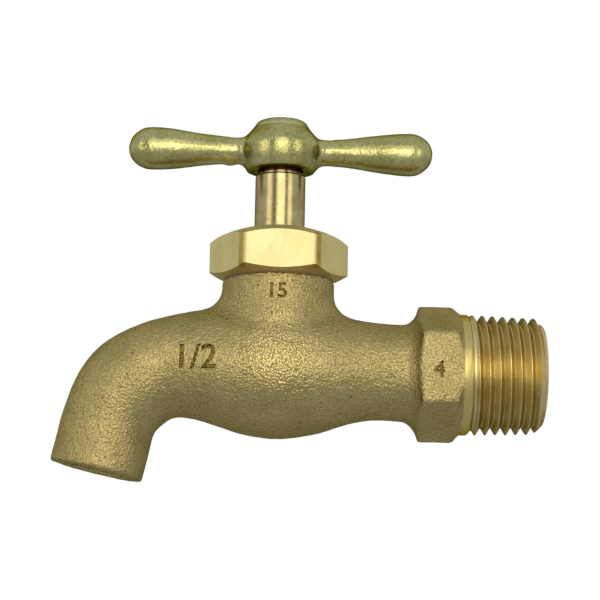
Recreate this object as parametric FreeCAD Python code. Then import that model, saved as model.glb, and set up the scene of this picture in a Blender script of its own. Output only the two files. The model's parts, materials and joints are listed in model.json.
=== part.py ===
import FreeCAD, Part

import math
import os

from FreeCAD import Placement, Rotation, Vector

# Plain bibb with a half-inch taper-threaded inlet, a bent plain spout and a tee handle.
# Millimetres. The origin is the centre of the inlet's end face. +X points out of the inlet,
# towards the pipe, +Z is up along the stem, and the spout hangs at the -X end.
# Distances called reach are measured from the stem's axis, heights from the inlet's axis.

# Inlet nipple and hexagon
inlet_reach = 46.9            # stem axis to the inlet's end face
waterway_radius = 6.4
nipple_radius = 10.67         # half-inch pipe outside
nipple_length = 14.8          # end face to the hexagon
nipple_collar = 1.5           # plain stretch beside the hexagon
nipple_taper = 1 / 16         # on the diameter
nipple_chamfer = 1.4
bore_chamfer = 0.8
shank_flats = 21.2
shank_hexagon_length = 7.1
shank_hexagon_chamfer = 1.2
shank_edge_radius = 0.9
shank_flare_radius = 4.0      # concave flare between the round shank and the hexagon

# Cast shell
globe_radius = 12.0
shank_radius = 8.55           # round stretch between globe and hexagon
shank_rise = 0.2              # the round shank's axis lies a little above the inlet's
wall = 2.5
neck_radius = 9.9
neck_height = 15.95
neck_blend = 4.2              # fillet between neck and globe

# Spout
spout_radius = 8.15
spout_bend_radius = 8.83      # the section is fuller in the middle of the bend
spout_wall = 2.1
spout_reach = 31.2            # stem axis to the centre of the mouth
spout_drop = 18.4             # inlet axis down to the centre of the mouth
spout_lean = 12.5             # degrees off vertical
spout_straight = 6.5
spout_lead = 1.2              # the bend starts in line with the straight end over this length
mouth_rounding = 0.4

# Sections of the shell through the bend: inboard of the mouth, above the mouth, slope in degrees
bend_low_inboard = 3.05
bend_low_rise = 11.5
bend_low_slope = 63.0
bend_low_swell = 0.25         # fuller here than the straight end
bend_middle_inboard = 6.1
bend_middle_rise = 15.55
bend_middle_slope = 41.5
bend_high_inboard = 11.0
bend_high_drop = 0.25         # below the inlet's axis
bend_high_slope = 17.5

# Sections of the shell round the globe, by their distance from the stem's axis
globe_entry_reach = 15.0
globe_entry_rise = 0.6
globe_entry_slope = 4.0
globe_entry_swell = 0.67      # fuller than the bend
globe_left_reach = 8.0
globe_left_rise = 0.25
globe_left_fall = 1.0         # slimmer than the globe's middle
globe_right_reach = 7.5
globe_right_rise = 0.05
globe_right_fall = 1.05
globe_exit_reach = 13.0
globe_exit_swell = 0.8        # fuller than the round shank
shank_start_reach = 19.0

# Seat and the S-shaped wall that carries it
seat_height = 1.5
seat_bore_radius = 4.4
seat_land = 1.4               # width of the raised ring
seat_ring_height = 0.9
diaphragm = 2.2               # thickness of the S-shaped wall
diaphragm_reach = 8.4         # stem axis to the near face of both upright stretches

# Bonnet
bonnet_flats = 21.6
bonnet_edge_radius = 0.9      # rounding of the upright edges
bonnet_foot_radius = 9.75
bonnet_foot_chamfer = 1.2     # height of the lower chamfer
bonnet_edge_height = 5.15     # straight stretch of each upright edge
bonnet_crown_radius = 25.0
bonnet_thread_radius = 7.94   # five-eighths thread, crests
bonnet_thread_length = 5.0
gasket_thickness = 0.25

# Stem
stem_radius = 4.49
stem_neck_length = 0.95       # bare neck between the shaft's shoulder and the handle
stem_neck_step = 0.49         # the neck is slimmer than the shaft by this
stem_thread_radius = 5.56     # seven-sixteenths thread, crests
stem_thread_cover = 2.4       # top of the thread below the body's neck
thread_pitch = 2.117          # twelve threads to the inch
turns_to_open = 1.5
flange_radius = 7.0
flange_thickness = 3.2
square = 4.6                  # across the square that drives the handle
edge = 0.3                    # small chamfer on turned ends

# Stem seals
ring_section = 1.6            # height of the squeezed ring
groove_width = 2.1
ring_margin = 1.5            # guide bore's floor to the middle of the lower ring
ring_spacing = 2.6

# Seat washer, its retainer and its screw
washer_radius = 6.2
washer_thickness = 3.0
washer_proud = 1.5            # how far it stands out of its cup
retainer_radius = 3.6
retainer_thickness = 0.8
seat_screw_radius = 2.08
seat_screw_head_radius = 3.2
seat_screw_head_height = 1.6
seat_screw_length = 9.0       # thread in the stem, above the washer's underside

# Tee handle
arm_height = 39.8
arm_reach = 27.3
lobe_reach = 23.1             # stem axis to the fullest place of an arm
lobe_radius = 3.85
arm_root_gap = 1.0            # side of the ball to the thinnest place of an arm
arm_root_radius = 2.4
hub_rise = 0.4                # middle of the ball above the arms' axis
hub_radius = 7.3
hub_half_height = 7.47        # of the ball below its middle
hub_skirt = 4.1               # ball's middle down to its flat bottom
hub_crown = 5.0               # ball's middle up to the flat top
hub_slimming = 6.0            # height over which the ball slims down to the boss
hub_rings = 11
hub_blend = 1.3               # fillet where each arm meets the ball
boss_radius = 4.1
boss_edge = 1.2
socket_depth = 1.1            # recess that takes the stem's neck

# Handle screw, sunk in the boss
handle_screw_radius = 2.08
handle_screw_head_radius = 3.45
handle_screw_head_height = 1.6
handle_screw_length = 8.0
screw_well_gap = 0.15         # round the head
screw_well_depth = 2.2
slot_width = 1.0
slot_depth = 0.8

# Clearances
thread_clearance = 0.05
running_clearance = 0.06
loose_clearance = 0.1
square_clearance = 0.05       # on each side of the square

# Places that follow from the sizes
stem_x = -inlet_reach
lift = thread_pitch * turns_to_open
washer_top = seat_height + washer_thickness
cup_rim = seat_height + washer_proud
flange_top = cup_rim + flange_thickness
seat_base = seat_height - seat_ring_height
bonnet_foot = neck_height + gasket_thickness
bonnet_edge_top = bonnet_foot + bonnet_foot_chamfer + bonnet_edge_height
bonnet_thread_end = neck_height - bonnet_thread_length
bonnet_corner_radius = bonnet_flats / math.sqrt(3)
stem_thread_top = neck_height - stem_thread_cover
guide_radius = stem_radius + running_clearance
guide_floor = stem_thread_top + lift + loose_clearance
lower_ring_height = guide_floor + ring_margin
upper_ring_height = lower_ring_height + ring_spacing
groove_radius = stem_radius - ring_section
hub_height = arm_height + hub_rise
hub_bottom = hub_height - hub_skirt
boss_top = hub_height + hub_crown
arm_root_reach = hub_radius + arm_root_gap
socket_floor = hub_bottom + socket_depth
stem_shoulder = hub_bottom - stem_neck_length
stem_neck_radius = stem_radius - stem_neck_step
socket_radius = stem_neck_radius + loose_clearance
screw_well_radius = handle_screw_head_radius + screw_well_gap
handle_screw_seat = boss_top - screw_well_depth
square_top = handle_screw_seat - loose_clearance
thread_root = nipple_length - nipple_collar
nipple_end_radius = nipple_radius - thread_root * nipple_taper / 2
lean = math.radians(spout_lean)
mouth = Vector(stem_x - spout_reach, 0, -spout_drop)
up_spout = Vector(math.sin(lean), 0, math.cos(lean))
bend_start = mouth + up_spout * spout_straight
spout_bore_radius = spout_radius - spout_wall


def about_stem(profile):
    """Turns a closed outline of (radius, height) corners about the stem's axis."""
    corners = [Vector(stem_x + radius, 0, height) for radius, height in profile]
    face = Part.Face(Part.makePolygon(corners + corners[:1]))
    return face.revolve(Vector(stem_x, 0, 0), Vector(0, 0, 1), 360)


def about_inlet(profile):
    """Turns a closed outline of (x, radius) corners about the inlet's axis."""
    corners = [Vector(x, 0, radius) for x, radius in profile]
    face = Part.Face(Part.makePolygon(corners + corners[:1]))
    return face.revolve(Vector(0, 0, 0), Vector(1, 0, 0), 360)


def rod(radius, bottom, top):
    """A round bar on the stem's axis."""
    return Part.makeCylinder(radius, top - bottom, Vector(stem_x, 0, bottom))


def disc(radius, hole, bottom, top):
    """A flat washer on the stem's axis."""
    return rod(radius, bottom, top).cut(rod(hole, bottom, top))


def hexagon(flats, start, direction, length):
    """A hexagonal bar whose corners lie in the plane of the spout, flats to front and back."""
    corner_radius = flats / math.sqrt(3)
    front = Vector(0, -1, 0)
    side = front.cross(direction)
    corners = []
    for step in range(6):
        turn = math.radians(60 * step)
        corners.append(start + (side * math.cos(turn) + front * math.sin(turn)) * corner_radius)
    face = Part.Face(Part.makePolygon(corners + corners[:1]))
    return face.extrude(direction * length)


def section(centre, along, radius):
    """A circle across the waterway, with its seam at the bottom of the shell."""
    side = Vector(0, 1, 0)
    turned = Rotation(side.cross(along) * -1, side * -1, along, "ZXY")
    circle = Part.makeCircle(radius)
    circle.Placement = Placement(centre, turned)
    return Part.Wire(circle)


def waterway_skin(globe_wall, bend_wall, end_wall):
    """Smooth tapering tube from the spout's straight end, through the globe, to the hexagon.

    The walls are taken off its radius, so that the same tube makes the shell and its chamber."""
    end_radius = spout_radius - end_wall
    bend_radius = spout_bend_radius - bend_wall
    shank_end = inlet_reach - nipple_length - shank_hexagon_length
    stations = [
        # along x from the stem's axis, height, slope, radius
        (bend_low_inboard - spout_reach, bend_low_rise - spout_drop, bend_low_slope,
         end_radius + bend_low_swell),
        (bend_middle_inboard - spout_reach, bend_middle_rise - spout_drop, bend_middle_slope,
         bend_radius),
        (bend_high_inboard - spout_reach, -bend_high_drop, bend_high_slope, bend_radius),
        (-globe_entry_reach, globe_entry_rise, globe_entry_slope, bend_radius + globe_entry_swell),
        (-globe_left_reach, globe_left_rise, 0, globe_radius - globe_left_fall - globe_wall),
        (0, 0, 0, globe_radius - globe_wall),
        (globe_right_reach, globe_right_rise, 0, globe_radius - globe_right_fall - globe_wall),
        (globe_exit_reach, shank_rise, 0, shank_radius + globe_exit_swell - globe_wall),
        (shank_start_reach, shank_rise, 0, shank_radius - globe_wall),
        (shank_end, shank_rise, 0, shank_radius - globe_wall),
    ]
    straight_on = bend_start + up_spout * spout_lead
    circles = [section(place, up_spout, end_radius) for place in (bend_start, straight_on)]
    for reach, height, slope, radius in stations:
        turn = math.radians(slope)
        along = Vector(math.cos(turn), 0, math.sin(turn))
        circles.append(section(Vector(stem_x + reach, 0, height), along, radius))
    return Part.makeLoft(circles, True, False)


def cast_shell():
    """Globe, bend and shank neck, with the upright neck blended in."""
    skin = waterway_skin(0, 0, 0)
    joined = skin.fuse(rod(neck_radius, 0, neck_height))
    seams = [line for line in joined.Edges if runs_round_neck(line)]
    return joined.makeFillet(neck_blend, seams)


def runs_round_neck(line):
    """True for the edges where the upright neck meets the globe."""
    box = line.BoundBox
    clear_of_top = box.ZMax < neck_height - edge
    return box.ZMin > seat_height and clear_of_top and box.XLength > neck_radius / 2


def spout_tube():
    """Straight end of the spout, its mouth's outer edge rounded."""
    tube = Part.makeCylinder(spout_radius, spout_straight, mouth, up_spout)
    rim = [line for line in tube.Edges if (line.CenterOfMass - mouth).Length < mouth_rounding]
    return tube.makeFillet(mouth_rounding, rim)


def shank_hexagon():
    """Cast hexagon with soft edges, flaring from the round shank and chamfered at the nipple."""
    right = -nipple_length
    left = right - shank_hexagon_length
    flare_start = left - shank_flare_radius
    bar = hexagon(shank_flats, Vector(flare_start, 0, 0), Vector(1, 0, 0), right - flare_start)
    upright_edges = [line for line in bar.Edges if line.BoundBox.XLength > edge]
    bar = bar.makeFillet(shank_edge_radius, upright_edges)

    foot = shank_radius - edge
    outer = foot + shank_flare_radius
    slant = shank_flare_radius * math.sqrt(0.5)
    flare = Part.Arc(
        Vector(flare_start, 0, foot),
        Vector(flare_start + slant, 0, outer - slant),
        Vector(left, 0, outer),
    ).toShape()
    lip = Part.makePolygon([
        Vector(left, 0, outer),
        Vector(right - shank_hexagon_chamfer, 0, outer),
        Vector(right, 0, nipple_radius),
        Vector(right, 0, 0),
        Vector(flare_start, 0, 0),
        Vector(flare_start, 0, foot),
    ])
    outline = Part.Face(Part.Wire([flare] + lip.Edges))
    return bar.common(outline.revolve(Vector(0, 0, 0), Vector(1, 0, 0), 360))


def nipple():
    """Tapered inlet nipple at the size of its thread's crests, with a plain collar."""
    back = -nipple_length - shank_hexagon_length / 2
    return about_inlet([
        (back, 0),
        (back, nipple_radius),
        (-thread_root, nipple_radius),
        (-nipple_chamfer, nipple_end_radius),
        (0, nipple_end_radius - nipple_chamfer),
        (0, 0),
    ])


def s_wall():
    """The S-shaped wall: a level plate with one upright stretch down and one up."""
    depth = 2 * globe_radius
    reach = diaphragm_reach + diaphragm
    bottom = seat_base - diaphragm
    left = Vector(stem_x - reach, -globe_radius, 0)
    right = Vector(stem_x + diaphragm_reach, -globe_radius, 0)
    up = Vector(0, 0, 1)
    level = Part.makeBox(2 * reach, depth, diaphragm, left + up * bottom)
    lower = Part.makeBox(diaphragm, depth, depth, left + up * (seat_base - depth))
    upper = Part.makeBox(diaphragm, depth, depth, right + up * bottom)
    return level.fuse([lower, upper])


def make_body():
    """Cast shell with its S-shaped wall and seat, bored and tapped from three sides."""
    outside = cast_shell().fuse([spout_tube(), shank_hexagon(), nipple()])
    inlet_bore_depth = inlet_reach - diaphragm_reach - diaphragm
    countersink = [
        (0, 0),
        (0, waterway_radius + bore_chamfer),
        (-bore_chamfer, waterway_radius),
        (-bore_chamfer, 0),
    ]
    cuts = [
        waterway_skin(wall, wall, spout_wall).cut(s_wall()),
        rod(bonnet_thread_radius + thread_clearance, seat_base, neck_height),
        rod(seat_bore_radius, seat_base - 2 * diaphragm, seat_base),
        Part.makeCylinder(waterway_radius, inlet_bore_depth, Vector(0, 0, 0), Vector(-1, 0, 0)),
        Part.makeCylinder(spout_bore_radius, spout_straight, mouth, up_spout),
        about_inlet(countersink),
    ]
    seat_ring = disc(seat_bore_radius + seat_land, seat_bore_radius, seat_base, seat_height)
    return outside.cut(cuts).fuse(seat_ring).removeSplitter()


def make_bonnet():
    """Hexagonal bonnet with a domed crown, its thread below and the stem's guide bore above."""
    crown_middle = bonnet_edge_top - math.sqrt(bonnet_crown_radius ** 2 - bonnet_corner_radius ** 2)
    crown_top = crown_middle + math.sqrt(bonnet_crown_radius ** 2 - (stem_radius + edge) ** 2)
    height = crown_top - bonnet_foot
    foot = about_stem([
        (0, bonnet_foot),
        (bonnet_foot_radius, bonnet_foot),
        (bonnet_corner_radius, bonnet_foot + bonnet_foot_chamfer),
        (bonnet_corner_radius, crown_top),
        (0, crown_top),
    ])
    crown = Part.makeSphere(bonnet_crown_radius, Vector(stem_x, 0, crown_middle))
    head = hexagon(bonnet_flats, Vector(stem_x, 0, bonnet_foot), Vector(0, 0, 1), height)
    upright_edges = [line for line in head.Edges if line.BoundBox.ZLength > edge]
    head = head.makeFillet(bonnet_edge_radius, upright_edges)
    lead_in = 2 * edge
    shank = about_stem([
        (0, bonnet_thread_end),
        (bonnet_thread_radius - lead_in, bonnet_thread_end),
        (bonnet_thread_radius, bonnet_thread_end + lead_in),
        (bonnet_thread_radius, bonnet_foot),
        (0, bonnet_foot),
    ])
    bore = rod(stem_thread_radius + running_clearance, bonnet_thread_end, guide_floor)
    guide = rod(guide_radius, guide_floor, crown_top)
    return head.common(foot).common(crown).fuse(shank).cut([bore, guide]).removeSplitter()


def make_gasket():
    """Flat fibre ring between the body's neck and the bonnet."""
    hole = bonnet_thread_radius + loose_clearance
    return disc(bonnet_foot_radius, hole, neck_height, bonnet_foot)


def groove(height):
    """Ring-shaped cut for a seal, at the ring's middle height."""
    half = groove_width / 2
    return disc(stem_radius + edge, groove_radius, height - half, height + half)


def square_bar(across, bottom, top):
    """A square bar on the stem's axis, its flats facing along and across the arms."""
    corner = Vector(stem_x - across / 2, -across / 2, bottom)
    return Part.makeBox(across, across, top - bottom, corner)


def make_stem():
    """Stem with the washer's cup, the lifting thread, two seal grooves and the handle's square."""
    turned = about_stem([
        (0, washer_top),
        (washer_radius + loose_clearance, washer_top),
        (washer_radius + loose_clearance, cup_rim),
        (flange_radius, cup_rim),
        (flange_radius, flange_top),
        (stem_thread_radius, flange_top),
        (stem_thread_radius, stem_thread_top - edge),
        (stem_thread_radius - edge, stem_thread_top),
        (stem_radius, stem_thread_top),
        (stem_radius, stem_shoulder - edge),
        (stem_radius - edge, stem_shoulder),
        (stem_neck_radius, stem_shoulder),
        (stem_neck_radius, socket_floor),
        (0, socket_floor),
    ])
    drive = square_bar(square, socket_floor, square_top)
    holes = [
        rod(seat_screw_radius, washer_top, seat_height + seat_screw_length),
        rod(handle_screw_radius, handle_screw_seat - handle_screw_length, square_top),
    ]
    return turned.fuse(drive).cut(holes + [groove(lower_ring_height), groove(upper_ring_height)])


def make_o_ring(height):
    """Stem seal as it lies squeezed in its groove."""
    middle = groove_radius + ring_section / 2
    return Part.makeTorus(middle, ring_section / 2, Vector(stem_x, 0, height), Vector(0, 0, 1))


def make_washer():
    """Rubber seat washer."""
    return disc(washer_radius, seat_screw_radius + loose_clearance, seat_height, washer_top)


def make_retainer():
    """Small flat washer under the seat screw's head."""
    hole = seat_screw_radius + loose_clearance
    return disc(retainer_radius, hole, seat_height - retainer_thickness, seat_height)


def slotted_screw(head_radius, head_height, shaft_radius, head_base, shaft_end, up):
    """Cheese-head screw; up is 1 when its head is on top, -1 when it hangs below."""
    head_end = head_base + up * head_height
    head = rod(head_radius, min(head_base, head_end), max(head_base, head_end))
    outer_rim = [line for line in head.Edges if abs(line.CenterOfMass.z - head_end) < edge / 2]
    head = head.makeFillet(edge, outer_rim)
    shaft = rod(shaft_radius, min(head_base, shaft_end), max(head_base, shaft_end))
    slot_low = min(head_end, head_end - up * slot_depth)
    corner = Vector(stem_x - head_radius, -slot_width / 2, slot_low)
    slot = Part.makeBox(2 * head_radius, slot_width, slot_depth, corner)
    return head.fuse(shaft).cut(slot)


def make_seat_screw():
    base = seat_height - retainer_thickness
    end = seat_height + seat_screw_length - loose_clearance
    return slotted_screw(
        seat_screw_head_radius, seat_screw_head_height, seat_screw_radius,
        base, end, -1,
    )


def make_handle_screw():
    end = handle_screw_seat - handle_screw_length + loose_clearance
    return slotted_screw(
        handle_screw_head_radius, handle_screw_head_height, handle_screw_radius,
        handle_screw_seat, end, 1,
    )


def hub_reach(rise):
    """Radius of the hub at a height above its middle: a ball below, a bell above."""
    if rise < 0:
        return hub_radius * math.sqrt(1 - (rise / hub_half_height) ** 2)
    slimming = (1 + math.cos(math.pi * rise / hub_slimming)) / 2
    return boss_radius + (hub_radius - boss_radius) * slimming


def hub_skin():
    """The hub before its arms, lofted through level circles."""
    rings = []
    for step in range(hub_rings):
        rise = (hub_crown + hub_skirt) * step / (hub_rings - 1) - hub_skirt
        middle = Vector(stem_x, 0, hub_height + rise)
        rings.append(Part.Wire(Part.makeCircle(hub_reach(rise), middle)))
    return Part.makeLoft(rings, True, False)


def arm(side):
    """One pear-shaped arm; side is -1 towards the spout and 1 towards the inlet."""
    def at(reach, radius):
        return Vector(stem_x + side * reach, 0, arm_height + radius)

    outward = Vector(side, 0, 0)
    tip_length = arm_reach - lobe_reach
    diagonal = math.sqrt(0.5)
    swell = Part.BSplineCurve()
    swell.interpolate(
        Points=[at(arm_root_reach, arm_root_radius), at(lobe_reach, lobe_radius)],
        Tangents=[outward, outward],
        TangentFlags=[True, True],
    )
    tip = Part.BSplineCurve()
    tip.interpolate(
        Points=[
            at(lobe_reach, lobe_radius),
            at(lobe_reach + tip_length * diagonal, lobe_radius * diagonal),
            at(arm_reach, 0),
        ],
        Tangents=[outward, Vector(side, 0, -1), Vector(0, 0, -1)],
        TangentFlags=[True, False, True],
    )
    shaft = Part.makePolygon([
        at(arm_reach, 0),
        at(0, 0),
        at(0, arm_root_radius),
        at(arm_root_reach, arm_root_radius),
    ])
    outline = Part.Face(Part.Wire(shaft.Edges + [swell.toShape(), tip.toShape()]))
    return outline.revolve(Vector(stem_x, 0, arm_height), Vector(1, 0, 0), 360)


def runs_round_arm(line):
    """True for the edges where an arm leaves the hub's ball."""
    box = line.BoundBox
    reaches = sorted([abs(box.XMin - stem_x), abs(box.XMax - stem_x)])
    on_ball = reaches[0] > hub_radius / 2 and reaches[1] < arm_root_reach - edge
    return on_ball and box.YLength > edge and box.ZLength > edge


def make_handle():
    """Tee handle: a hub with two arms, its socket, square hole and screw well."""
    hub = hub_skin().fuse([arm(-1), arm(1)])
    hub = hub.makeFillet(hub_blend, [line for line in hub.Edges if runs_round_arm(line)])
    rim = [line for line in hub.Edges if abs(line.BoundBox.ZMin - boss_top) < edge]
    hub = hub.makeFillet(boss_edge, rim)
    return hub.cut([
        rod(socket_radius, hub_bottom, socket_floor),
        square_bar(square + 2 * square_clearance, socket_floor, boss_top),
        rod(screw_well_radius, handle_screw_seat, boss_top),
    ])


MAKERS = {
    "body": make_body,
    "bonnet": make_bonnet,
    "bonnet_gasket": make_gasket,
    "stem": make_stem,
    "o_ring_lower": lambda: make_o_ring(lower_ring_height),
    "o_ring_upper": lambda: make_o_ring(upper_ring_height),
    "handle": make_handle,
    "handle_screw": make_handle_screw,
    "seat_washer": make_washer,
    "washer_retainer": make_retainer,
    "seat_screw": make_seat_screw,
}

os.makedirs("parts", exist_ok=True)
for name, make in MAKERS.items():
    shape = make()
    shape.exportStep("parts/" + name + ".step")
    print(name, "valid" if shape.isValid() else "NOT VALID", len(shape.Solids), round(shape.Volume, 2))
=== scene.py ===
# %% [markdown]
# A half-inch brass bibb, the tap that a garden or laundry pipe ends in. The measured model comes
# first, as a fixed frame of eleven parts. This script then gives those parts the surfaces that a
# foundry and a lathe leave: a grainy casting, a cut taper thread, bright bonnet flats, a smooth
# bronze stem and a tumbled handle. Everything is in metres, and MM turns millimetres into them.

import json
import math

import bmesh
import bpy
from mathutils import Matrix, Vector, noise
from mathutils.bvhtree import BVHTree

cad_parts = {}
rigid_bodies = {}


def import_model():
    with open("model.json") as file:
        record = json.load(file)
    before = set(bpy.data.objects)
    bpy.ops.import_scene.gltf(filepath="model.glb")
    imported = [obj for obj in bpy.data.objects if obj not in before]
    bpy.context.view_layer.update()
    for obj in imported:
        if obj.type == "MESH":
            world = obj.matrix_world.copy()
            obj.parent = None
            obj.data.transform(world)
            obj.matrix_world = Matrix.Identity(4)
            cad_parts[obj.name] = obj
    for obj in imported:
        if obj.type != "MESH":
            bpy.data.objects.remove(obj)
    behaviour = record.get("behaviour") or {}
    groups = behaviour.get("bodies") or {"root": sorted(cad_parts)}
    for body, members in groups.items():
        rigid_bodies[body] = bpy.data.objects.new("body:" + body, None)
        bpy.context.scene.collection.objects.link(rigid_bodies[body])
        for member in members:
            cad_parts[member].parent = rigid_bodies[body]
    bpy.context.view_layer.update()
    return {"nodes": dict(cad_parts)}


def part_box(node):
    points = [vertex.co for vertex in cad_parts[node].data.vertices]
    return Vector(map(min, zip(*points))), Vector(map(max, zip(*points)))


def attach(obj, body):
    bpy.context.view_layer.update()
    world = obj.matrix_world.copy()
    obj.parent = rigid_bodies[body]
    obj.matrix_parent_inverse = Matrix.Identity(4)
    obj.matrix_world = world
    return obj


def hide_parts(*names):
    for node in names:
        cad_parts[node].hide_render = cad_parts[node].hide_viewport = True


for leftover in list(bpy.data.objects):
    bpy.data.objects.remove(leftover)
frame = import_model()
MM = 0.001
scene = bpy.context.scene
print("parts in the frame:", ", ".join(sorted(frame["nodes"])))

# %% [markdown]
# The places below are read off the frame, so the new pieces stay where the measured parts are.
# The stem's axis is the middle of the stem, and the inlet's axis runs through the origin along x.

# %% Places read from the frame
body_low, body_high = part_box("body")
stem_low, stem_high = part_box("stem")
stem_x = (stem_low.x + stem_high.x) / 2
neck_top = body_high.z
handle_points = [point.co for point in frame["nodes"]["handle"].data.vertices]
hub_reach = 8 * MM               # less than the arms' reach, more than the hub's radius
hub_points = [p.z for p in handle_points if (p.xy - Vector((stem_x, 0))).length < hub_reach]
hub_bottom, hub_top = min(hub_points), max(hub_points)
shoulder = hub_bottom - 0.95 * MM           # where the stem's neck begins
print("stem axis at x =", round(stem_x / MM, 2), "mm, top of the neck at", round(neck_top / MM, 2), "mm")
print("hub from", round(hub_bottom / MM, 2), "to", round(hub_top / MM, 2), "mm")

# %% [markdown]
# Small tools used throughout. A colour is written as the sRGB hex value that a paint program
# shows, and Blender's shaders want linear light, so one function turns one into the other.
# Another adds a shader node with its settings and its links in one line. A pattern's scale is
# worked out from the real size of the thing that it draws.

# %% Colours and shader nodes
def linear(hex_colour):
    """Linear red, green, blue and alpha of an sRGB hex value."""
    channels = [int(hex_colour[i:i + 2], 16) / 255 for i in (0, 2, 4)]
    return [c / 12.92 if c < 0.04045 else ((c + 0.055) / 1.055) ** 2.4 for c in channels] + [1.0]


def add(tree, kind, settings=None, links=None):
    """Adds a node. A setting is an input's number or name, or else one of the node's properties."""
    node = tree.nodes.new(kind)
    properties = {k: v for k, v in (settings or {}).items() if hasattr(node, str(k))}
    for key, value in properties.items():
        setattr(node, key, value)
    for key, value in (settings or {}).items():
        if key not in properties:
            node.inputs[key].default_value = value
    for key, output in (links or {}).items():
        tree.links.new(output, node.inputs[key])
    return node


def per_size(millimetres):
    """Pattern scale that repeats about once in that length."""
    return 1 / (millimetres * MM)


def new_material(name, constants):
    """A material, its tree and its shader, which has those inputs set."""
    material = bpy.data.materials.new(name)
    material.use_nodes = True
    shader = material.node_tree.nodes["Principled BSDF"]
    for key, value in constants.items():
        shader.inputs[key].default_value = value
    return material, material.node_tree, shader


print("a grain of 0.45 mm has a scale of", round(per_size(0.45)))

# %% [markdown]
# No metal here is one flat colour. Every finish has blotches of two near shades, and some have
# specks: pits that stay dark. Darker layers are laid over a colour by multiplying it. What stands
# out of the surface goes to the bump, and it also moves the roughness a little, since no surface is
# evenly glossy. The mix node has a set of sockets for each type of value, so its colour sockets
# get names.

# %% Blotches, specks and relief
FACTOR, FIRST, SECOND, MIXED = 0, 6, 7, 2
BLEND = {"data_type": "RGBA"}
DARKEN = {"data_type": "RGBA", "blend_type": "MULTIPLY", FACTOR: 1.0}
CLEAN = linear("ffffff")


def blotches(tree, place, millimetres, low, high, low_hex, high_hex, detail=3.0):
    """Noise of that size, and a colour that goes from one hex to the other between low and high."""
    noise_settings = {"Scale": per_size(millimetres), "Detail": detail}
    height = add(tree, "ShaderNodeTexNoise", noise_settings, {"Vector": place}).outputs[0]
    share = add(tree, "ShaderNodeMapRange", {1: low, 2: high}, {0: height}).outputs[0]
    colours = BLEND | {FIRST: linear(low_hex), SECOND: linear(high_hex)}
    return height, add(tree, "ShaderNodeMix", colours, {FACTOR: share}).outputs[MIXED]


def specks(tree, place, millimetres, core, edge, dark_hex):
    """White with a dark speck in each cell of that size. The speck's radii are shares of the cell."""
    away = add(tree, "ShaderNodeTexVoronoi", {"Scale": per_size(millimetres)}, {"Vector": place})
    outside = add(tree, "ShaderNodeMapRange", {1: core, 2: edge}, {0: away.outputs[0]}).outputs[0]
    colours = BLEND | {FIRST: linear(dark_hex), SECOND: CLEAN}
    return add(tree, "ShaderNodeMix", colours, {FACTOR: outside}).outputs[MIXED]


def uneven_gloss(tree, relief, hollow, raised):
    """Roughness that goes from its value in the hollows to its value on what stands out."""
    span = {1: 0.3, 2: 0.7, 3: hollow, 4: raised}
    return add(tree, "ShaderNodeMapRange", span, {0: relief}).outputs[0]


def finish_surface(tree, shader, colour, relief, depth, roughness):
    """Links the colour, the roughness and a relief of that depth to the shader."""
    bump = add(tree, "ShaderNodeBump", {"Distance": depth, "Strength": 1.0}, {"Height": relief})
    tree.links.new(colour, shader.inputs["Base Color"])
    tree.links.new(roughness, shader.inputs["Roughness"])
    tree.links.new(bump.outputs[0], shader.inputs["Normal"])


print("sockets of a colour mix:", FACTOR, FIRST, SECOND, "and", MIXED)

# %% [markdown]
# The camera comes from the photograph's own perspective. It stands about a third of a metre in
# front of the tap and nearly sixty millimetres below its middle, looks up by ten degrees, and is
# rolled by about one degree. The lens gives the same narrow view as the photograph.

# %% Camera
camera_place = Vector((-53.40, -335.99, -45.66)) * MM
looks_at = Vector((-42.99, 0.0, 12.80)) * MM
roll = math.radians(1.091)
sensor_width = 36.0
focal_share = 1918.7 / 600       # focal length over the picture's width

forward = (looks_at - camera_place).normalized()
level_right = forward.cross(Vector((0, 0, 1))).normalized()
level_up = level_right.cross(forward)
right = level_right * math.cos(roll) + level_up * math.sin(roll)
up = level_up * math.cos(roll) - level_right * math.sin(roll)
camera_data = bpy.data.cameras.new("camera")
camera_data.sensor_width = sensor_width
camera_data.lens = sensor_width * focal_share
camera_data.clip_start = 0.01
camera = bpy.data.objects.new("camera", camera_data)
turn = Matrix((right, up, -forward)).transposed().to_4x4()
camera.matrix_world = Matrix.Translation(camera_place) @ turn
scene.collection.objects.link(camera)
scene.camera = camera
print("lens", round(camera_data.lens, 1), "mm")

# %% [markdown]
# Brass shows what is around it, so the studio is part of the finish. A soft box beside the camera
# makes the bright spot on the ball and the band along the arms. A weak one above it carries that
# light up to the neck. Two more at the sides make the outer bands on the stem, and grey flags
# between them make the dark stripes that give a turned bar its roundness. The wall behind darkens
# the outlines. Flags and wall are stage pieces that the camera doesn't see.

# %% Soft boxes and cards
def place_facing(thing, azimuth, elevation, distance):
    """Stands a thing facing the tap. Azimuth 0 is the camera's side and 90 the inlet's."""
    around, above = math.radians(azimuth), math.radians(elevation)
    direction = Vector((
        math.sin(around) * math.cos(above),
        -math.cos(around) * math.cos(above),
        math.sin(above),
    ))
    aim = direction.to_track_quat("Z", "Y").to_matrix().to_4x4()
    thing.matrix_world = Matrix.Translation(looks_at + direction * distance) @ aim
    scene.collection.objects.link(thing)


def soft_box(name, azimuth, elevation, distance, width, height, watts, colour):
    """A rectangular lamp that faces the tap."""
    lamp = bpy.data.lights.new(name, "AREA")
    lamp.shape = "RECTANGLE"
    lamp.size = width
    lamp.size_y = height
    lamp.energy = watts
    lamp.color = linear(colour)[:3]
    place_facing(bpy.data.objects.new(name, lamp), azimuth, elevation, distance)


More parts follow.
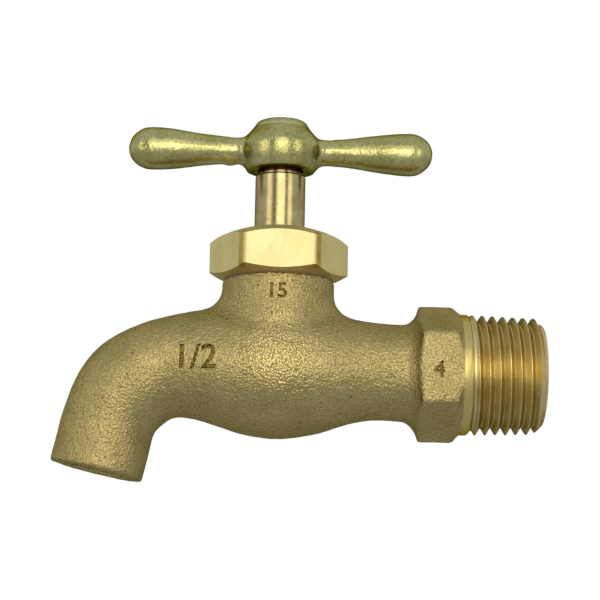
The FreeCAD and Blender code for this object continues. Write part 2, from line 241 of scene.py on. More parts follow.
def board(name, width, height, paint):
    """A flat stage piece, face up at the origin."""
    shape = bmesh.new()
    bmesh.ops.create_grid(shape, x_segments=1, y_segments=1, size=0.5)
    bmesh.ops.scale(shape, vec=(width, height, 1), verts=shape.verts)
    mesh = bpy.data.meshes.new(name)
    shape.to_mesh(mesh)
    shape.free()
    mesh.materials.append(paint)
    thing = bpy.data.objects.new(name, mesh)
    return thing


def card(name, azimuth, elevation, distance, width, height, colour):
    """A matt board that lights or shades the brass but isn't seen by the camera."""
    matt = {"Base Color": linear(colour), "Roughness": 0.9, "Specular IOR Level": 0.0}
    thing = board(name, width, height, new_material(name, matt)[0])
    place_facing(thing, azimuth, elevation, distance)
    thing.visible_camera = False
    thing.visible_shadow = False


# name, azimuth and elevation in degrees, distance, width and height in metres, watts, colour
soft_box("key box", 2, 5, 0.55, 0.34, 0.33, 0.92, "fffcf6")
soft_box("upper box", 0, 32, 0.55, 0.30, 0.16, 0.14, "fffcf6")
soft_box("left box", -52, 5, 0.60, 0.22, 0.40, 0.42, "fffaf2")
soft_box("right box", 44, 5, 0.60, 0.18, 0.40, 0.40, "fffaf2")
card("flag left", -28, 4, 0.62, 0.10, 0.60, "68645a")
card("flag right", 27, 4, 0.62, 0.08, 0.60, "68645a")
card("wall behind", 180, 4, 0.75, 0.75, 0.90, "74767c")

print("four soft boxes and three cards")

# %% [markdown]
# The table is matt and pale. For the brass it is the grey that the underside of the tap mirrors.
# For the camera it glows by itself and takes less light, so that it looks pale from every side,
# with only a weak pool of lamp light on it. The sky is white where the camera sees it, and dimmer
# and a little bluer where it lights the brass or is mirrored in it.

# %% Table and sky
table_width = 3.2
table_drop = 80 * MM
table_glow = 0.76

table_inputs = {"Roughness": 0.8, "Emission Color": linear("f6f6f4")}
pale, tree, shader = new_material("pale table", table_inputs)
seen = add(tree, "ShaderNodeLightPath").outputs["Is Camera Ray"]
matt = BLEND | {FIRST: linear("cccdd2"), SECOND: linear("86847c")}
matt = add(tree, "ShaderNodeMix", matt, {FACTOR: seen}).outputs[MIXED]
glow = add(tree, "ShaderNodeMath", {"operation": "MULTIPLY", 1: table_glow}, {0: seen}).outputs[0]
tree.links.new(matt, shader.inputs["Base Color"])
tree.links.new(glow, shader.inputs["Emission Strength"])
floor = board("floor", table_width, table_width, pale)
floor.matrix_world = Matrix.Translation((0, 0, -table_drop))
scene.collection.objects.link(floor)

sky = bpy.data.worlds.new("studio sky")
sky.use_nodes = True
scene.world = sky
air = sky.node_tree
rays = add(air, "ShaderNodeLightPath").outputs
white = air.nodes["Background"]
white.inputs["Color"].default_value = (1, 1, 1, 1)
white.inputs["Strength"].default_value = 1.0
dim = add(air, "ShaderNodeBackground", {"Color": linear("e0e6fa"), "Strength": 0.92})
blend = add(air, "ShaderNodeMixShader",
            links={0: rays["Is Camera Ray"], 1: dim.outputs[0], 2: white.outputs[0]})
air.links.new(blend.outputs[0], air.nodes["World Output"].inputs["Surface"])
scene.view_settings.view_transform = "Standard"
print("table", table_drop / MM, "mm below the inlet's axis")

# %% [markdown]
# The body is a sand casting. Its skin could be only a bump in the shader, but a real casting is
# uneven all over: sand marks, a faint line where the two halves of the mould met, and sunk
# numerals. So the measured mesh is copied, wrapped in an even net of small faces, and its points
# are moved a few hundredths of a millimetre. The measured part itself isn't touched.

# %% Even skin over a measured part
def joined_copy(node):
    """A bmesh of a measured part with its loose triangles joined."""
    shape = bmesh.new()
    shape.from_mesh(frame["nodes"][node].data)
    bmesh.ops.remove_doubles(shape, verts=shape.verts, dist=0.002 * MM)
    return shape


def new_piece(shape, name):
    """An object at the origin from a bmesh, which is used up."""
    mesh = bpy.data.meshes.new(name)
    shape.to_mesh(mesh)
    shape.free()
    piece = bpy.data.objects.new(name, mesh)
    scene.collection.objects.link(piece)
    return piece


def settle(piece):
    """Turns the piece's modifiers into its mesh."""
    view = bpy.context.evaluated_depsgraph_get()
    finished = bpy.data.meshes.new_from_object(piece.evaluated_get(view))
    piece.modifiers.clear()
    old = piece.data
    piece.data = finished
    bpy.data.meshes.remove(old)


def relax(piece, rounds, chosen=lambda place: True):
    """Smooths the chosen points of a piece, as often as that, and returns how many there are."""
    shape = bmesh.new()
    shape.from_mesh(piece.data)
    points = [point for point in shape.verts if chosen(point.co)]
    for _ in range(rounds):
        bmesh.ops.smooth_vert(shape, verts=points, factor=0.5,
                              use_axis_x=True, use_axis_y=True, use_axis_z=True)
    shape.to_mesh(piece.data)
    shape.free()
    return len(points)


def even_skin(shape, name, net):
    """The shape's surface as a piece with an even net of faces of that size."""
    piece = new_piece(shape, name)
    wrap = piece.modifiers.new("net", "REMESH")
    wrap.mode = "VOXEL"
    wrap.voxel_size = net
    settle(piece)
    relax(piece, 2)
    return piece


def smooth_shading(piece, angle=40):
    """Smooth faces, with edges sharper than the angle kept crisp."""
    for face in piece.data.polygons:
        face.use_smooth = True
    piece.data.set_sharp_from_angle(angle=math.radians(angle))


def uneven(place, size, depth):
    """Smooth random height at a place, for lumps of that size and depth."""
    return noise.noise(place / size) * depth


cast_net = 0.37 * MM             # fine enough for sand marks, coarse enough for a light file
casting = even_skin(joined_copy("body"), "body_casting", cast_net)
print("casting skin:", len(casting.data.polygons), "faces")

# %% [markdown]
# The mould's two halves met in the plane of the spout, and a faint ridge was left there. It is
# drawn as a narrow swelling of the skin, weaker and stronger along its way because the foundry
# ground it down by hand. The globe also runs up into the neck more softly than the measured part
# does, at the front and the back, so up to 0.6 mm of metal fills that hollow. The neck's top was
# faced by a tool and stays clean.

# %% Sand marks, parting line and neck
cast_lumps = 4.0 * MM, 0.07 * MM         # size and depth
sand_grains = 1.1 * MM, 0.045 * MM
ground_size = 7.0 * MM                   # stretches where the ridge was ground down
parting_width = 0.45 * MM
parting_height = 0.10 * MM
machined_margin = 0.5 * MM
fillet_from = 9.3 * MM                   # from the stem's axis, outside the bonnet's bore
fillet_level = 7.6 * MM
fillet_spread = 3.1 * MM
fillet_height = 0.6 * MM


def swelling(distance, reach):
    """One at no distance, and falling to nothing over about twice the reach."""
    return math.exp(-(distance / reach) ** 2)


def neck_fillet(place):
    """Extra metal in the hollow between globe and neck, at the front and the back."""
    sideways = place.x - stem_x
    reach = math.hypot(sideways, place.y)
    if reach < fillet_from:
        return 0.0
    share = swelling(place.z - fillet_level, fillet_spread) * swelling(sideways, 2 * fillet_spread)
    return fillet_height * share * (place.y / reach) ** 2


def sand_mark(place):
    """How far a point of the cast skin stands out."""
    skin_marks = uneven(place, *cast_lumps) + uneven(place, *sand_grains)
    ridge = swelling(place.y, parting_width) * parting_height
    left = max(0.6 + uneven(place, ground_size, 0.8), 0.0)
    return skin_marks + ridge * left + neck_fillet(place)


def roughen(piece, mark, keep):
    """Moves each point along its normal by mark(place), unless keep(place) is true."""
    shape = bmesh.new()
    shape.from_mesh(piece.data)
    shape.normal_update()
    moves = [(point, point.normal * mark(point.co)) for point in shape.verts if not keep(point.co)]
    for point, move in moves:
        point.co += move
    shape.to_mesh(piece.data)
    shape.free()
    return len(moves)


def is_machined(place):
    """True near the neck's top, which a tool has faced."""
    return place.z > neck_top - machined_margin


moved = roughen(casting, sand_mark, is_machined)
print("cast skin points moved:", moved)

# %% [markdown]
# The inlet's taper thread is cut on the same casting, yet it has another finish, so it is a piece
# of its own. The casting is cut off at the hexagon's end face, and the ring between its outside and
# its waterway is closed by bridging the two edges of the cut. The nipple then sits on that ring.

# %% Cut the plain nipple off the casting
nipple_length = 14.8 * MM
nipple_radius = 10.67 * MM
waterway_radius = 6.4 * MM
overlap = 0.05 * MM              # how far the casting reaches past the hexagon's face

shape = bmesh.new()
shape.from_mesh(casting.data)
cut = bmesh.ops.bisect_plane(
    shape, geom=list(shape.verts) + list(shape.edges) + list(shape.faces), dist=0.001 * MM,
    plane_co=(-nipple_length + overlap, 0, 0), plane_no=(1, 0, 0), clear_outer=True,
)
rim = [e for e in cut["geom_cut"] if isinstance(e, bmesh.types.BMEdge)]
outer = [e for e in rim if e.verts[0].co.yz.length > (nipple_radius + waterway_radius) / 2]
inner = [e for e in rim if e not in outer]
bmesh.ops.bridge_loops(shape, edges=outer + inner)
shape.to_mesh(casting.data)
shape.free()
print("casting ends at", round(max(v.co.x for v in casting.data.vertices) / MM, 2), "mm")

# %% [markdown]
# A casting carries its size in numerals. These stood out in the mould, so they are sunk here: 1/2
# beside the globe, for the pipe size in inches, 15 on the neck, its metric name, and a single 4 on
# the hexagon. Each one is made from text, bent onto the skin by measuring straight back to it from
# every corner, and then cut out of the casting. Every point of the casting remembers how deep it
# lies under the old skin, and its brass is darkened by that later, as painted shade in the grooves.

# %% Numerals sunk in the casting
stroke_swell = 0.09 * MM
press_depth = 0.42 * MM
stands_out = 1.0 * MM            # so that the cutter passes right through the skin
letter_share = 0.7               # a numeral's height over its font size


def numeral(words, centre_x, centre_z, height, skin):
    """A text solid that follows the skin as seen from the front, from inside it to outside."""
    letters = bpy.data.curves.new("numeral " + words.replace("/", "-"), "FONT")
    letters.body = words
    letters.size = height / letter_share
    letters.align_x = "CENTER"
    letters.align_y = "CENTER"
    letters.extrude = 0.5
    letters.offset = stroke_swell
    letters.resolution_u = 4
    sheet = bpy.data.objects.new(letters.name, letters)
    scene.collection.objects.link(sheet)
    view = bpy.context.evaluated_depsgraph_get()
    mesh = bpy.data.meshes.new_from_object(sheet.evaluated_get(view))
    bpy.data.objects.remove(sheet)
    solid = bmesh.new()
    solid.from_mesh(mesh)
    bmesh.ops.remove_doubles(solid, verts=solid.verts, dist=0.002 * MM)
    for point in solid.verts:
        in_front = point.co.z > 0
        x, z = centre_x + point.co.x, centre_z + point.co.y
        hit = skin.ray_cast(Vector((x, -0.1, z)), Vector((0, 1, 0)))[0]
        point.co = Vector((x, hit.y - stands_out if in_front else hit.y + press_depth, z))
    bmesh.ops.recalc_face_normals(solid, faces=solid.faces)
    return new_piece(solid, letters.name)


def cut_out(piece, stamps):
    """Cuts the stamps out of the piece and deletes them."""
    for stamp in stamps:
        cutter = piece.modifiers.new(stamp.name, "BOOLEAN")
        cutter.operation = "DIFFERENCE"
        cutter.object = stamp
        cutter.solver = "MANIFOLD"
    settle(piece)
    for stamp in stamps:
        bpy.data.objects.remove(stamp)


skin = BVHTree.FromObject(casting, bpy.context.evaluated_depsgraph_get())
stamps = [
    numeral("1/2", -61.1 * MM, 0.7 * MM, 4.2 * MM, skin),
    numeral("15", -47.3 * MM, 12.6 * MM, 2.6 * MM, skin),
    numeral("4", -19.1 * MM, -0.6 * MM, 2.8 * MM, skin),
]
cut_out(casting, stamps)
# Painted shade: each point's depth in a numeral's groove, which darkens its brass later.
depth_shade = casting.data.attributes.new("depth_shade", "FLOAT", "POINT")
depths = [skin.find_nearest(point.co)[3] for point in casting.data.vertices]
depth_shade.data.foreach_set("value", [min(depth / press_depth, 1.0) for depth in depths])
smooth_shading(casting)
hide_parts("body")
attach(casting, "valve_body")
print("casting:", len(casting.data.polygons), "faces with its numerals")

# %% [markdown]
# The taper pipe thread: 14 turns to the inch, a 60 degree form, one in sixteen on the diameter.
# One full turn of the thread's outline, moved along by one pitch as it goes round, meets itself
# again one tooth further on. So a spin with a sideways step makes the whole helix, its seam is
# merged, and the taper, the run-out towards the collar and the lead-in chamfer follow by moving
# its points in and out.

# %% Taper thread of the inlet
pitch = 25.4 / 14 * MM
thread_depth = 1.24 * MM
crest_flat = 0.055               # share of the pitch
root_width = 0.14
root_hollow = 0.05               # share of the depth, so that the root is a narrow round
taper = 1 / 16
collar = 1.3 * MM
lead_in = 1.4 * MM
run_out = 0.8 * pitch
steps_round = 120
thread_start = -nipple_length + collar
first_crest = -12.6 * MM
spare_turns = 2                  # cut off again at the collar
chip_size = 0.9 * MM
chip_share = 0.05                # of the tooth's height


def crest_radius(x):
    """Radius over the crests at a place along the inlet."""
    return nipple_radius - max(x - thread_start, 0.0) * taper / 2


tooth = [                        # one pitch of the outline: share of the pitch, height
    (0.0, root_hollow),
    (root_width / 2, 0.0),
    (root_width, root_hollow),
    (0.5 + (root_width - crest_flat) / 2, 1.0),
    (0.5 + (root_width + crest_flat) / 2, 1.0),
]
turns = math.ceil((nipple_length - collar) / pitch) + spare_turns + 1
first = first_crest - (spare_turns + 0.5 + root_width / 2) * pitch

thread = bmesh.new()
corners = []
for turn_number in range(turns):
    for share, height in tooth:
        corners.append(thread.verts.new((first + (turn_number + share) * pitch, 0, 1 + height)))
for a, b in zip(corners, corners[1:]):
    thread.edges.new((a, b))
bmesh.ops.subdivide_edges(thread, edges=thread.edges, cuts=2)
bmesh.ops.spin(
    thread, geom=list(thread.verts) + list(thread.edges), cent=(0, 0, 0), axis=(1, 0, 0),
    dvec=(pitch / steps_round, 0, 0), angle=math.tau, steps=steps_round, use_merge=False,
)
bmesh.ops.remove_doubles(thread, verts=thread.verts, dist=0.01 * MM)
for point in thread.verts:
    x = point.co.x
    height = point.co.yz.length - 1
    cut_depth = min(max((x - thread_start) / run_out, 0.0), 1.0)
    chipped = 1 + uneven(point.co * MM + Vector((x, 0, 0)), chip_size, chip_share)
    radius = crest_radius(x) - (1 - height * chipped) * thread_depth * cut_depth
    radius = min(radius, crest_radius(x) - lead_in - x) if x > -lead_in else radius
    around = Vector((0, point.co.y, point.co.z)).normalized()
    point.co = Vector((x, 0, 0)) + around * radius
print("thread of", round((nipple_length - collar) / pitch, 1), "turns,", len(thread.faces), "faces")

# %% [markdown]
# The helix is cut square at both ends. The end towards the hexagon is drawn out into the plain
# collar, and the open end is turned in over a small countersink to the waterway's bore.

# %% Collar, end face and bore of the nipple
def cut_end(shape, x, outwards):
    """Cuts the shape at x and returns the edges of the cut."""
    cut = bmesh.ops.bisect_plane(
        shape, geom=list(shape.verts) + list(shape.edges) + list(shape.faces), dist=0.0005 * MM,
        plane_co=(x, 0, 0), plane_no=(outwards, 0, 0), clear_outer=True,
    )
    return [e for e in cut["geom_cut"] if isinstance(e, bmesh.types.BMEdge)]


def draw_out(shape, rim, rings):
    """Extends a rim through rings of (x, radius) and returns the last rim."""
    for x, radius in rings:
        grown = bmesh.ops.extrude_edge_only(shape, edges=rim)["geom"]
        rim = [e for e in grown if isinstance(e, bmesh.types.BMEdge)]
        for point in {p for e in rim for p in e.verts}:
            around = Vector((0, point.co.y, point.co.z)).normalized()
            point.co = Vector((x, 0, 0)) + around * radius
    return rim


countersink = 0.8 * MM
chamfer = 0.1 * MM
spigot = 1.0 * MM                # stretch of the piece that is hidden inside the hexagon
back = -nipple_length - spigot
face_radius = nipple_radius - lead_in - 0.6 * MM
left_rim = cut_end(thread, thread_start, -1)
left_rim = draw_out(thread, left_rim, [
    (thread_start - chamfer, nipple_radius),
    (-nipple_length + chamfer, nipple_radius),
    (-nipple_length, nipple_radius - chamfer),
    (back, nipple_radius - chamfer),
    (back, waterway_radius),
])
right_rim = cut_end(thread, 0, 1)
right_rim = draw_out(thread, right_rim, [
    (0, face_radius),
    (0, waterway_radius + countersink),
    (-countersink, waterway_radius),
])
bmesh.ops.bridge_loops(thread, edges=left_rim + right_rim)
bmesh.ops.recalc_face_normals(thread, faces=thread.faces)
nipple = new_piece(thread, "inlet_nipple")
smooth_shading(nipple, 25)
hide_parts("body")
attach(nipple, "valve_body")
print("nipple:", len(nipple.data.polygons), "faces")

# %% [markdown]
# The handle is a small casting that was tumbled with stones until its skin turned satin. It keeps
# a blob of flash under the left arm beside the hub, a fold near the left tip and, half way up each
# arm, the seam of its mould. Each mark is a swelling round a point, a line or a level, so a few
# sizes and one function hold them all.

# %% Handle sizes and marks
handle_net = 0.24 * MM
socket_radius = 4.1 * MM
socket_depth = 1.1 * MM
well_radius = 3.6 * MM
well_depth = 2.2 * MM
faced_radius = 7.0 * MM
faced_depth = 0.03 * MM
plug_overlap = 0.2 * MM
arm_points = [p.z for p in handle_points if abs(p.x - stem_x) > 20 * MM]
arm_level = (min(arm_points) + max(arm_points)) / 2
root_from, root_to, root_half = 4.8 * MM, 9.5 * MM, 3.6 * MM
tumbled_lumps = 5.0 * MM, 0.10 * MM      # size and depth
tumbled_dents = 1.3 * MM, 0.03 * MM
seam_width = 0.27 * MM
seam_height = 0.05 * MM
seam_stretch = 6.0 * MM
flash_place = Vector((-55.9, 0.0, 37.3)) * MM
flash_size = 1.1 * MM
flash_height = 0.42 * MM
fold_from = Vector((-74.4, -3.2, 39.0)) * MM
fold_to = Vector((-71.2, -3.8, 39.2)) * MM
fold_width = 0.28 * MM
fold_depth = 0.16 * MM


def from_line(place, start, end):
    """Distance from a place to a straight stretch."""
    along = end - start
    share = min(max((place - start).dot(along) / along.length_squared, 0.0), 1.0)
    return (place - start - along * share).length


def tumbled_mark(place):
    """How far a point of the handle's skin stands out."""
    skin_marks = uneven(place, *tumbled_lumps) + uneven(place, *tumbled_dents)
    left = max(0.5 + uneven(place, seam_stretch, 1.0), 0.0)
    seam = swelling(place.z - arm_level, seam_width) * seam_height * left
    flash = swelling((place - flash_place).length, flash_size) * flash_height
    fold = swelling(from_line(place, fold_from, fold_to), fold_width) * fold_depth
    return skin_marks + seam + flash - fold


def is_root(place):
    """True where an arm meets the hub."""
    along = root_from < abs(place.x - stem_x) < root_to
    return along and abs(place.y) < root_half and abs(place.z - arm_level) < root_half


def is_plugged(place):
    """True on the plugs and in the square hole between them."""
    reach = (place.xy - Vector((stem_x, 0))).length
    low_down = place.z < hub_bottom + socket_depth
    return reach < (socket_radius if low_down else well_radius) + 0.1 * MM


print("arms' middle at", round(arm_level / MM, 2), "mm")

# %% [markdown]
# The handle is skinned and moved in the same way as the body, with smaller faces. A skin of even
# faces would make the rims of its socket and its screw well jagged, so both are plugged first and
# cut open again afterwards, when a flat cut also faces the hub's underside as a tool would. The
# arms' roots are smoothed until they run softly into the hub.

# %% Handle casting
root_rounds = 40


def add_plug(shape, radius, low, high):
    """Adds an upright round bar on the stem's axis to the shape."""
    bmesh.ops.create_cone(
        shape, cap_ends=True, segments=96, radius1=radius, radius2=radius, depth=high - low,
        matrix=Matrix.Translation((stem_x, 0, (low + high) / 2)),
    )


filled = joined_copy("handle")
add_plug(filled, socket_radius, hub_bottom, hub_bottom + socket_depth + plug_overlap)
add_plug(filled, well_radius, hub_top - well_depth - plug_overlap, hub_top)
handle = even_skin(filled, "tee_handle", handle_net)
print("points smoothed at the arms' roots:", relax(handle, root_rounds, is_root))
roughen(handle, tumbled_mark, is_plugged)
hollows = bmesh.new()
add_plug(hollows, socket_radius, hub_bottom - stands_out / 2, hub_bottom + socket_depth)
add_plug(hollows, well_radius, hub_top - well_depth, hub_top + stands_out)
facing = bmesh.new()
add_plug(facing, faced_radius, hub_bottom - stands_out, hub_bottom + faced_depth)
cut_out(handle, [new_piece(hollows, "hollows"), new_piece(facing, "facing")])
smooth_shading(handle)
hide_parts("handle")
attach(handle, "stem")
print("handle:", len(handle.data.polygons), "faces")

# %% [markdown]
# Sand-cast brass, shot-blasted. The bare metal has dulled to a pale olive. Wide blotches stain it
# and fine ones mottle it, and small pits stay dark. The grooves of the numerals get painted shade:
# an Attribute node reads how deep in a groove each point lies, and the brass is darkened by that.

# %% Cast brass
brass_inputs = {"Metallic": 1.0, "Specular Tint": linear("b0ac98")}
cast_brass, tree, shader = new_material("cast brass, shot-blasted", brass_inputs)
place = add(tree, "ShaderNodeTexCoord").outputs["Object"]
colour = blotches(tree, place, 5.0, 0.35, 0.65, "ac9c62", "bca76d")[1]
pits = specks(tree, place, 2.4, 0.04, 0.10, "8c8468")
mottle = blotches(tree, place, 0.32, 0.40, 0.60, "e2ded2", "ffffff")[1]
# Painted shade in the numerals' grooves, darker the deeper a point lies.
pressed = add(tree, "ShaderNodeAttribute", {"attribute_name": "depth_shade"}).outputs["Fac"]
painted_groove_shade = BLEND | {FIRST: CLEAN, SECOND: linear("b4aa88")}
painted_groove_shade = add(tree, "ShaderNodeMix", painted_groove_shade, {FACTOR: pressed}).outputs[MIXED]
for layer in (pits, mottle, painted_groove_shade):
    colour = add(tree, "ShaderNodeMix", DARKEN, {FIRST: colour, SECOND: layer}).outputs[MIXED]
print(cast_brass.name)

# %% [markdown]
# The shot also leaves a dense field of dimples under half a millimetre across, which glint where
# they face the light. They are cells of a Voronoi pattern: its distance squared is a round bowl.
# Modelled as faces they would make the file heavy, so they stay in the bump. The globe's front is
# glossier than the rest, because hands have rubbed it.

# %% Dimples and polish of the casting
dimple_size, dimple_depth = 0.40, 0.105 * MM
polish_end, dull_start = 4 * MM, 12 * MM

cells = add(tree, "ShaderNodeTexVoronoi", {"Scale": per_size(dimple_size)}, {"Vector": place}).outputs[0]
bowls = add(tree, "ShaderNodeMath", {"operation": "POWER", 1: 2.0}, {0: cells}).outputs[0]
sand = {"Scale": per_size(1.0), "Detail": 4.0}
sand = add(tree, "ShaderNodeTexNoise", sand, {"Vector": place}).outputs[0]
relief = {"operation": "MULTIPLY_ADD", 1: 1.1}
relief = add(tree, "ShaderNodeMath", relief, {0: sand, 2: bowls}).outputs[0]
globe_front = {"operation": "DISTANCE", 1: (stem_x, body_low.y, 0)}
from_globe = add(tree, "ShaderNodeVectorMath", globe_front, {0: place}).outputs["Value"]
dulled = {1: polish_end, 2: dull_start, 3: 0.26, 4: 0.43}
dulled = add(tree, "ShaderNodeMapRange", dulled, {0: from_globe}).outputs[0]
finish_surface(tree, shader, colour, relief, dimple_depth, dulled)
casting.data.materials.clear()
casting.data.materials.append(cast_brass)
print("dimples", dimple_depth / MM, "mm deep")

# %% [markdown]
# The thread, cut with a die in free-cutting brass. The tool leaves rings along the cut, so the
# noise is stretched round the axis by a Mapping node. The fresh metal is pale, and its grooves look
# orange because light bounces in them from flank to flank and is tinted each time. The plain collar
# beside the hexagon was turned with the casting, and is a little greener.

# %% Cut thread
ring_depth = 0.012 * MM
collar_fade = 0.3 * MM
cut_inputs = {"Metallic": 1.0, "Specular Tint": linear("b09c64")}
cut_brass, tree, shader = new_material("die-cut brass", cut_inputs)
place = add(tree, "ShaderNodeTexCoord").outputs["Object"]
stretched = {"Scale": (1.0, 0.06, 0.06)}
stretched = add(tree, "ShaderNodeMapping", stretched, {"Vector": place}).outputs[0]
rings = {"Scale": per_size(0.16), "Detail": 2.0}
rings = add(tree, "ShaderNodeTexNoise", rings, {"Vector": stretched}).outputs[0]
colour = blotches(tree, place, 3.5, 0.3, 0.7, "c8b275", "d6c78f")[1]
along = add(tree, "ShaderNodeSeparateXYZ", links={0: place}).outputs["X"]
uncut = {1: thread_start + collar_fade, 2: thread_start}
uncut = add(tree, "ShaderNodeMapRange", uncut, {0: along}).outputs[0]
turned = BLEND | {SECOND: linear("c2af66")}
colour = add(tree, "ShaderNodeMix", turned, {FACTOR: uncut, FIRST: colour}).outputs[MIXED]
finish_surface(tree, shader, colour, rings, ring_depth, uneven_gloss(tree, rings, 0.28, 0.38))
nipple.data.materials.append(cut_brass)
print(cut_brass.name)

# %% [markdown]
# Tumbled brass: a soft satin with fine scratches in every direction and a scatter of tiny dark
# pits that the stones didn't reach. It is greener than the casting. A pale band round the top edge
# of the hub is a painted highlight, where the lamps catch its rounded edge.

# %% Tumbled brass
satin_depth = 0.050 * MM
rim_level = hub_top - 1.1 * MM
rim_bright, rim_dull = 0.02 * MM, 0.24 * MM      # above or below that level
tumbled_inputs = {"Metallic": 1.0, "Specular Tint": linear("989470")}
tumbled, tree, shader = new_material("tumbled brass", tumbled_inputs)
place = add(tree, "ShaderNodeTexCoord").outputs["Object"]
satin, colour = blotches(tree, place, 0.42, 0.38, 0.62, "a8a268", "c3bc7c", 5.0)
stain = blotches(tree, place, 6.0, 0.35, 0.65, "e4e2cc", "ffffff")[1]
pits = specks(tree, place, 1.1, 0.06, 0.16, "c0bca8")
for layer in (stain, pits):
    colour = add(tree, "ShaderNodeMix", DARKEN, {FIRST: colour, SECOND: layer}).outputs[MIXED]
# Painted highlight: a pale band at one level round the top of the hub.
height = add(tree, "ShaderNodeSeparateXYZ", links={0: place}).outputs["Z"]
from_rim = {"operation": "SUBTRACT", 1: rim_level}
from_rim = add(tree, "ShaderNodeMath", from_rim, {0: height}).outputs[0]
from_rim = add(tree, "ShaderNodeMath", {"operation": "ABSOLUTE"}, {0: from_rim}).outputs[0]
rim_highlight = {1: rim_bright, 2: rim_dull, 3: 0.7, 4: 0.0}
rim_highlight = add(tree, "ShaderNodeMapRange", rim_highlight, {0: from_rim}).outputs[0]
painted_highlight = BLEND | {SECOND: linear("e0d8a8")}
colour = add(tree, "ShaderNodeMix", painted_highlight, {FACTOR: rim_highlight, FIRST: colour}).outputs[MIXED]
finish_surface(tree, shader, colour, satin, satin_depth, uneven_gloss(tree, satin, 0.26, 0.19))
handle.data.materials.clear()
handle.data.materials.append(tumbled)
print(tumbled.name)

# %% [markdown]
# The bonnet is milled from bar. Its flats are bright and pale, with the faint sweep of the cutter.
# Brown streaks are painted on the slanting flats, close to their edges with the front and the back
# one, as a painted reflection of darker surroundings in the rounded edges. Folding the coordinates
# with an absolute value lays one streak on all four.

# %% Milled bonnet
flat_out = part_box("bonnet")[1].y         # from the stem's axis to a flat
flat_half = flat_out * math.tan(math.radians(30))
streak_in = 1.0 * MM                     # from the edge to the streak's middle, along the flat
streak_core, streak_end = 0.5 * MM, 1.15 * MM    # from that middle
sweep_depth = 0.006 * MM
streak_x = flat_half + streak_in * math.sin(math.radians(30))
streak_y = flat_out - streak_in * math.cos(math.radians(30))

milled_inputs = {"Metallic": 1.0, "Specular Tint": linear("b4a868")}
milled, tree, shader = new_material("milled brass", milled_inputs)
place = add(tree, "ShaderNodeTexCoord").outputs["Object"]
swept = add(tree, "ShaderNodeMapping", {"Scale": (1.0, 1.0, 0.05)}, {"Vector": place}).outputs[0]
sweep = {"Scale": per_size(0.18), "Detail": 2.0}
sweep = add(tree, "ShaderNodeTexNoise", sweep, {"Vector": swept}).outputs[0]
colour = blotches(tree, place, 4.0, 0.3, 0.7, "d4c482", "decf94", 4.0)[1]

# Painted reflection: a brown streak beside each edge of the front and back flats.
centred = {"Location": (-stem_x, 0, 0)}
centred = add(tree, "ShaderNodeMapping", centred, {"Vector": place}).outputs[0]
folded = add(tree, "ShaderNodeVectorMath", {"operation": "ABSOLUTE"}, {0: centred}).outputs[0]
level = {"operation": "MULTIPLY", 1: (1, 1, 0)}
level = add(tree, "ShaderNodeVectorMath", level, {0: folded}).outputs[0]
away = {"operation": "DISTANCE", 1: (streak_x, streak_y, 0)}
away = add(tree, "ShaderNodeVectorMath", away, {0: level}).outputs["Value"]
near = add(tree, "ShaderNodeMapRange", {1: streak_end, 2: streak_core}, {0: away}).outputs[0]
edge_reflection_tint = blotches(tree, place, 2.0, 0.38, 0.62, "dcc08a", "ecdcb8")[1]
painted_reflection = add(tree, "ShaderNodeMix", BLEND | {FIRST: CLEAN}, {FACTOR: near, SECOND: edge_reflection_tint}).outputs[MIXED]
colour = add(tree, "ShaderNodeMix", DARKEN, {FIRST: colour, SECOND: painted_reflection}).outputs[MIXED]
finish_surface(tree, shader, colour, sweep, sweep_depth, uneven_gloss(tree, sweep, 0.46, 0.54))
print(milled.name)

# %% [markdown]
# The stem is turned bronze, a little redder than brass, with rings too fine to see one by one.
# They draw each reflection out along the bar, so it shows upright bands. Its neck under the handle
# is darkened brown as painted shade, for the dark gap between the shoulder and the hub.

# %% Turned bronze
turning_depth = 0.004 * MM
brown_fade = 0.5 * MM
bronze_inputs = {"Metallic": 1.0, "Specular Tint": linear("aca088")}
bronze, tree, shader = new_material("turned bronze", bronze_inputs)
place = add(tree, "ShaderNodeTexCoord").outputs["Object"]
stretched = {"Scale": (0.04, 0.04, 1.0)}
stretched = add(tree, "ShaderNodeMapping", stretched, {"Vector": place}).outputs[0]
rings = {"Scale": per_size(0.12), "Detail": 2.0}
rings = add(tree, "ShaderNodeTexNoise", rings, {"Vector": stretched}).outputs[0]
colour = blotches(tree, place, 2.5, 0.3, 0.7, "a0905c", "b8a976", 5.0)[1]
pits = specks(tree, place, 1.7, 0.04, 0.10, "7c6c48")
# Painted shade: the neck above the shoulder turns brown, because the gap under the hub is dark.
height = add(tree, "ShaderNodeSeparateXYZ", links={0: place}).outputs["Z"]
hidden = {1: shoulder, 2: shoulder + brown_fade}
hidden = add(tree, "ShaderNodeMapRange", hidden, {0: height}).outputs[0]
painted_neck_shade = BLEND | {FIRST: CLEAN, SECOND: linear("74543c")}
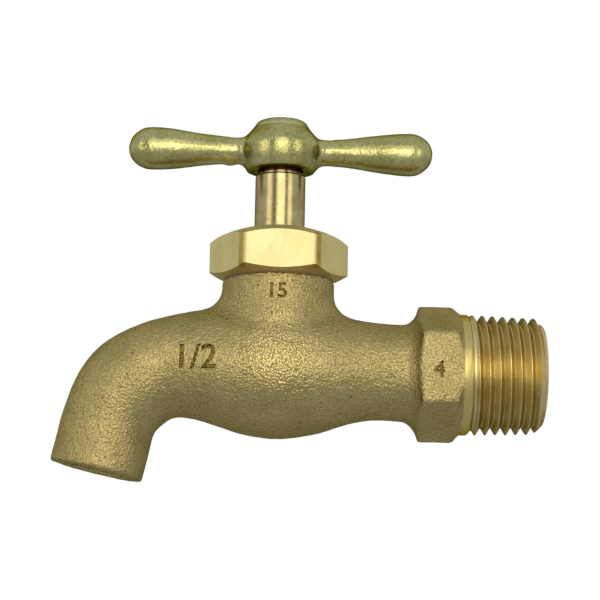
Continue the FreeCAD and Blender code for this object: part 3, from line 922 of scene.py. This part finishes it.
painted_neck_shade = add(tree, "ShaderNodeMix", painted_neck_shade, {FACTOR: hidden}).outputs[MIXED]
for layer in (pits, painted_neck_shade):
    colour = add(tree, "ShaderNodeMix", DARKEN, {FIRST: colour, SECOND: layer}).outputs[MIXED]
finish_surface(tree, shader, colour, rings, turning_depth, uneven_gloss(tree, rings, 0.17, 0.27))
print(bronze.name)

# %% [markdown]
# The small screws are turned brass, brighter than the casting. The seals are black nitrile rubber,
# and the gasket is pressed fibre, a matt brown that has soaked up a little oil. All three have one
# pattern for both colour and relief, so a table of their sizes and colours is enough.

# %% Screws, rubber and fibre
screw_inputs = {"Metallic": 1.0, "Specular Tint": linear("b0a070")}
small_finishes = {}
for name, inputs, grain, low, high, low_hex, high_hex, detail, depth, hollow, raised in (
    ("turned screw brass", screw_inputs, 1.5, 0.35, 0.65, "a58f58", "bfa970", 3.0, 0.004, 0.24, 0.36),
    ("nitrile rubber", {"IOR": 1.52}, 0.3, 0.3, 0.7, "171716", "232321", 3.0, 0.01, 0.55, 0.7),
    ("pressed fibre", {"IOR": 1.5}, 0.4, 0.3, 0.7, "5c3e1e", "7c562c", 4.0, 0.02, 0.5, 0.7),
):
    small_finishes[name], tree, shader = new_material(name, inputs)
    place = add(tree, "ShaderNodeTexCoord").outputs["Object"]
    relief, colour = blotches(tree, place, grain, low, high, low_hex, high_hex, detail)
    finish_surface(tree, shader, colour, relief, depth * MM, uneven_gloss(tree, relief, hollow, raised))
screw_brass, rubber, fibre = small_finishes.values()
print(", ".join(small_finishes))

# %% [markdown]
# The measured parts whose shape is already right keep their own mesh and only take the finish.

# %% Finish the measured parts
finishes = {
    "bonnet": milled,
    "bonnet_gasket": fibre,
    "stem": bronze,
    "o_ring_lower": rubber,
    "o_ring_upper": rubber,
    "handle_screw": screw_brass,
    "seat_washer": rubber,
    "washer_retainer": screw_brass,
    "seat_screw": screw_brass,
}
for node, finish in finishes.items():
    slots = frame["nodes"][node].data.materials
    slots.clear()
    slots.append(finish)
print("finished", len(finishes), "measured parts")
